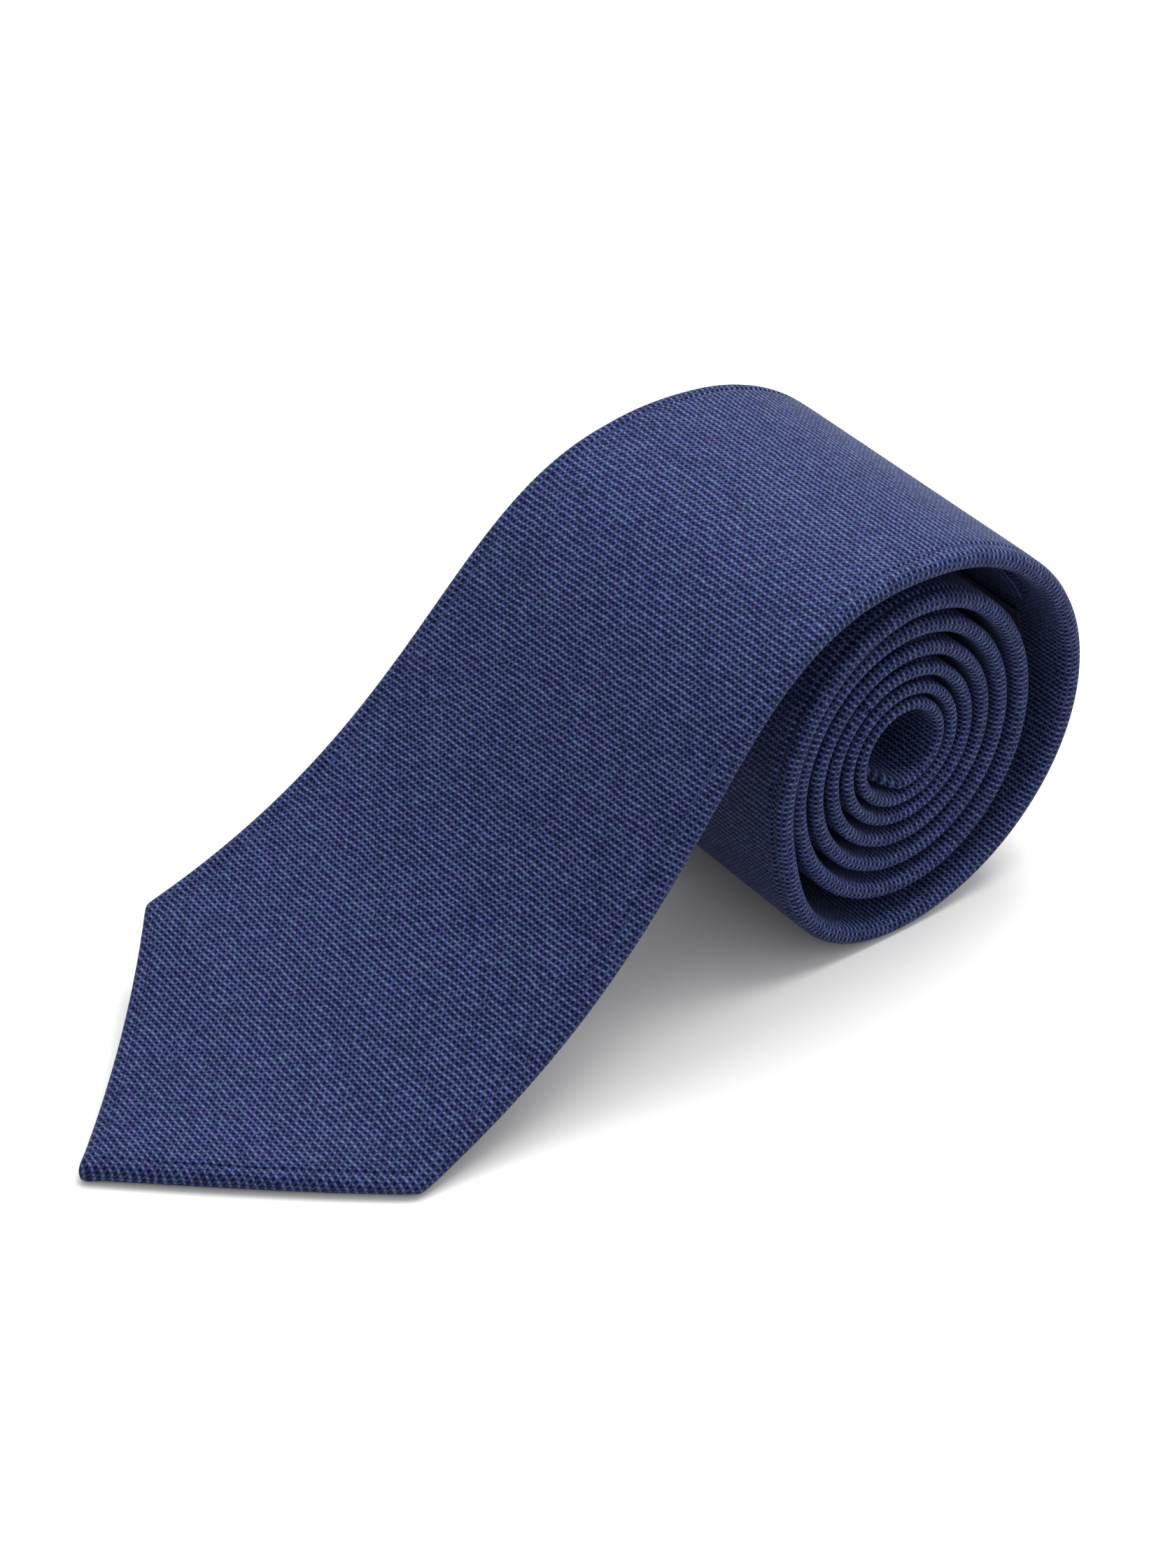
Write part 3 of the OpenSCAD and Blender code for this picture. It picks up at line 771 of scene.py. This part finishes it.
def layer(name, start, end, low, high, material):
    """A flat layer inside the tie, from low to high as shares of its thickness."""
    d = stations(start, end, LAYER_STEP)
    g = np.maximum(layer_w(d) / 2, 0.5)[:, None] * np.linspace(-1, 1, LAYER_COLS)
    t = thickness(d)[:, None]
    middle = (low + high) / 2
    half = (high - low) / 2 * soft_edge(LAYER_COLS, 16)
    rows = d[:, None] + 0 * g
    piece = two_sided(name, place(rows, g, (middle + half) * t), place(rows, g, (middle - half) * t),
                      np.stack([rows, g], -1), material)
    return declare(piece, start, end, layer_w)


def allowance(name, seam):
    """The two seam allowances, pressed open inside the tie under a piecing seam."""
    d = np.linspace(seam - ALLOWANCE, seam + ALLOWANCE, 9)
    g, n, v = wrap(d, CLOTH_T + 0.03)
    g_in, n_in, _ = wrap(d, CLOTH_T + 0.3)
    rows, rows_in = d[:, None] + SEAM_SLANT * g, d[:, None] + SEAM_SLANT * g_in
    piece = two_sided(name, place(rows, g, n), place(rows_in, g_in, n_in), np.stack([rows, v], -1), NAVY)
    return declare(piece, seam - ALLOWANCE, seam + ALLOWANCE, folded_w)


def strap(name):
    """Keeper loop: a strap of the tie's own cloth, folded lengthwise, that stands off the back."""
    k = np.linspace(-1, 1, 61)
    d = KEEPER_AT + KEEPER_W / 2 * np.linspace(-1, 1, 21)
    grid_d, grid_g = np.meshgrid(d, k * (KEEPER_SPAN / 2), indexing="ij")
    middle = back_n(grid_d, CLOTH_T + STRAP_GAP * (1 - k ** 12))
    half = STRAP_T / 2 * soft_edge(21, 10)[:, None]
    piece = two_sided(name, place(grid_d, grid_g, middle + half), place(grid_d, grid_g, middle - half),
                      np.stack([grid_g, grid_d], -1), NAVY)
    return piece


def label(name, at, size, material):
    """A blank label of a size along and across the tie, sewn flat to the back of a cloth."""
    length, span = size
    d = at + length / 2 * np.linspace(-1, 1, 15)
    grid_d, grid_g = np.meshgrid(d, span / 2 * np.linspace(-1, 1, 25), indexing="ij")
    top, bottom = (place(grid_d, grid_g, back_n(grid_d, off)) for off in LABEL_LIES)
    piece = two_sided(name, top, bottom, np.stack([grid_d, grid_g], -1), material)
    return piece


# ---- the tie ----

tip_cloth = cloth("front_blade_tip_cloth", END_GAP, TIP_SPLIT_AT, 0.9, extra=(POINT_LEN, NEAR_TIP))
slope_cloth = cloth("front_blade_slope_cloth", TIP_SPLIT_AT, ROLL_SPLIT_AT, 0.9)
roll_cloth = cloth("front_blade_roll_cloth", ROLL_SPLIT_AT, NECK_SEAM_AT, 1.0, seams=(NECK_SEAM_AT,))
neck_cloth = cloth("neck_cloth", NECK_SEAM_AT, TAIL_FROM, 0.9, seams=(NECK_SEAM_AT, TAIL_FROM))
tail_cloth = cloth("tail_cloth", TAIL_FROM, TIE_LEN - END_GAP, 0.7, seams=(TAIL_FROM,),
                   extra=(TAIL_CORNER, TIE_LEN - NEAR_TIP))

tip_lining = layer("front_tipping", TIPPING_FROM, TIPPING_TO, *LINING_BAND, LINING)
tail_lining = layer("tail_tipping", TAIL_CORNER - TAIL_TIPPING_LEN, TIE_LEN - TIPPING_FROM, *LINING_BAND, LINING)
tip_wool = layer("tip_interlining_wool", WOOL_FROM, TIP_SPLIT_AT, *WOOL_BAND, WOOL)
slope_wool = layer("slope_interlining_wool", TIP_SPLIT_AT, ROLL_SPLIT_AT, *WOOL_BAND, WOOL)
roll_wool = layer("roll_interlining_wool", ROLL_SPLIT_AT, NECK_SEAM_AT - WOOL_GAP, *WOOL_BAND, WOOL)
neck_wool = layer("neck_interlining_wool", NECK_SEAM_AT, TAIL_FROM - WOOL_GAP, *WOOL_BAND, WOOL)
tail_wool = layer("tail_interlining_wool", TAIL_FROM, TIE_LEN - WOOL_FROM, *WOOL_BAND, WOOL)

front_tack = bar_tack("front_bar_tack", BAR_TACK_AT)
tail_tack = bar_tack("rear_bar_tack", TAIL_TACK_AT)
slope_slip = slip_stitches("slope_slip_stitches", BAR_TACK_AT + 10, ROLL_SPLIT_AT - 4)
roll_slip = slip_stitches("roll_slip_stitches", ROLL_SPLIT_AT + 6, TAIL_TACK_AT - 12)
tip_hem = hem_stitches("tip_hem_stitches_thread", 14, POINT_LEN - 2, 6)
tail_hem = hem_stitches("tail_hem_stitches_thread", TAIL_CORNER + 1, TAIL_CORNER + 6, 3)
spare = thread_loop("spare_thread_loop", TAIL_TACK_AT - 7, 5, 2.6)

keeper = strap("keeper_strap")
keeper_ends = keeper_tacks("keeper_tack_threads")
maker = label("blank_maker_label", KEEPER_AT + 24, MAKER_LABEL, TAPE)
care = label("blank_care_label", KEEPER_AT - 22, CARE_LABEL, WHITE_TAPE)
blade_seam = allowance("blade_neck_seam_allowance", NECK_SEAM_AT)
tail_seam = allowance("neck_tail_seam_allowance", TAIL_FROM)

# ---- what each piece rides on, the finish listed for it and what it stands for ----

BENDS = {"tip_curl": ("blade_tip", "blade", TIP_HINGE_AT), "blade_lift": ("blade", "roll", LIFT_HINGE_AT)}


def bend(piece, first, second, hinge):
    """Bakes a piece's transform into its mesh; first, second and hinge are not used, and nothing blends it across
    the hinge line.
    """
    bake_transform(piece)


# A piece rides on one body; one listed at a joint only has its transform baked
for piece, where, slot, *nodes in (
        (tip_cloth, "tip_curl", "outer_fabric", "tip_shell"),
        (tip_lining, "tip_curl", "lining", "tip_lining", "slope_lining"),
        (tip_wool, "tip_curl", "interlining", "tip_interlining"),
        (tip_hem, "blade_tip", "thread", "tip_hem_stitches"),
        (slope_cloth, "blade_lift", "outer_fabric", "slope_shell"),
        (slope_wool, "blade_lift", "interlining", "slope_interlining"),
        (slope_slip, "blade_lift", "thread", "slope_slip_stitch"),
        (front_tack, "blade", "thread", "blade_bar_tack"),
        (roll_cloth, "roll", "outer_fabric", "roll_shell"),
        (roll_wool, "roll", "interlining", "roll_interlining"),
        (roll_slip, "roll", "thread", "roll_slip_stitch"),
        (keeper, "roll", "outer_fabric", "keeper_loop"),
        (keeper_ends, "roll", "thread", "keeper_tacks"),
        (maker, "roll", "maker_tape", "maker_label"),
        (care, "roll", "care_tape", "care_label"),
        (blade_seam, "roll", "outer_fabric", "blade_neck_seam"),
        (neck_cloth, "roll", "outer_fabric", "neck_shell"),
        (neck_wool, "roll", "interlining", "neck_interlining"),
        (tail_seam, "roll", "outer_fabric", "neck_tail_seam"),
        (tail_cloth, "roll", "outer_fabric", "tail_shell"),
        (tail_wool, "roll", "interlining", "tail_interlining"),
        (tail_lining, "roll", "lining", "tail_lining"),
        (tail_tack, "roll", "thread", "tail_bar_tack"),
        (tail_hem, "roll", "thread", "tail_hem_stitches"),
        (spare, "roll", "thread", "slack_thread_loop")):
    if where in BENDS:
        bend(piece, *BENDS[where])
    else:
        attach(piece, where)
    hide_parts(*nodes)


# ---- floor, light and camera ----

def floor():
    bpy.ops.mesh.primitive_plane_add(size=6)
    obj = bpy.context.object
    obj.name = "floor"
    w = Weaver("pale_floor")
    w.shader.inputs["Base Color"].default_value = (0.6, 0.6, 0.6, 1)
    w.shader.inputs["Roughness"].default_value = 0.9
    w.shader.inputs["Specular IOR Level"].default_value = 0.1
    obj.data.materials.append(w.material)


def lamp(name, place_mm, target_mm, size, power):
    """A square soft light, size across, that shines from one place towards another."""
    data = bpy.data.lights.new(name, "AREA")
    data.energy = power
    data.size = size * MM
    obj = shown(name, data)
    obj.location = [x * MM for x in place_mm]
    towards = Vector(target_mm) - Vector(place_mm)
    obj.rotation_euler = towards.to_track_quat("-Z", "Y").to_euler()


def sky(strength, tilt):
    """White light from all round, brighter towards the direction and by the amount of tilt."""
    world = bpy.data.worlds.new("studio")
    bpy.context.scene.world = world
    world.use_nodes = True
    nodes, links = world.node_tree.nodes, world.node_tree.links
    towards = nodes.new("ShaderNodeTexCoord")
    share = nodes.new("ShaderNodeVectorMath")
    share.operation = "DOT_PRODUCT"
    share.inputs[1].default_value = tilt
    links.new(towards.outputs["Generated"], share.inputs[0])
    level = nodes.new("ShaderNodeMath")
    level.operation = "ADD"
    level.inputs[1].default_value = strength
    links.new(share.outputs["Value"], level.inputs[0])
    nodes["Background"].inputs["Color"].default_value = (1, 1, 1, 1)
    links.new(level.outputs[0], nodes["Background"].inputs["Strength"])


def camera(place_mm, azimuth, elevation, lens):
    """A camera that looks along a compass direction, clockwise from +Y, and down by elevation degrees."""
    data = bpy.data.cameras.new("camera")
    data.lens = lens
    data.clip_start, data.clip_end = 0.01, 20
    obj = shown("camera", data)
    obj.location = [x * MM for x in place_mm]
    obj.rotation_euler = (math.radians(90 - elevation), 0, math.radians(-azimuth))
    bpy.context.scene.camera = obj


floor()
sky(1.12, (0.43, -0.35, 0))
lamp("overhead_light", (300, 0, 850), (40, 0, 40), 550, 9.8)
lamp("back_light", (60, 250, 850), (40, 0, 40), 550, 3.4)
camera((-348.8, -469.7, 493.3), 37.317, 37.714, 95.03)
bpy.context.scene.view_settings.view_transform = "Standard"
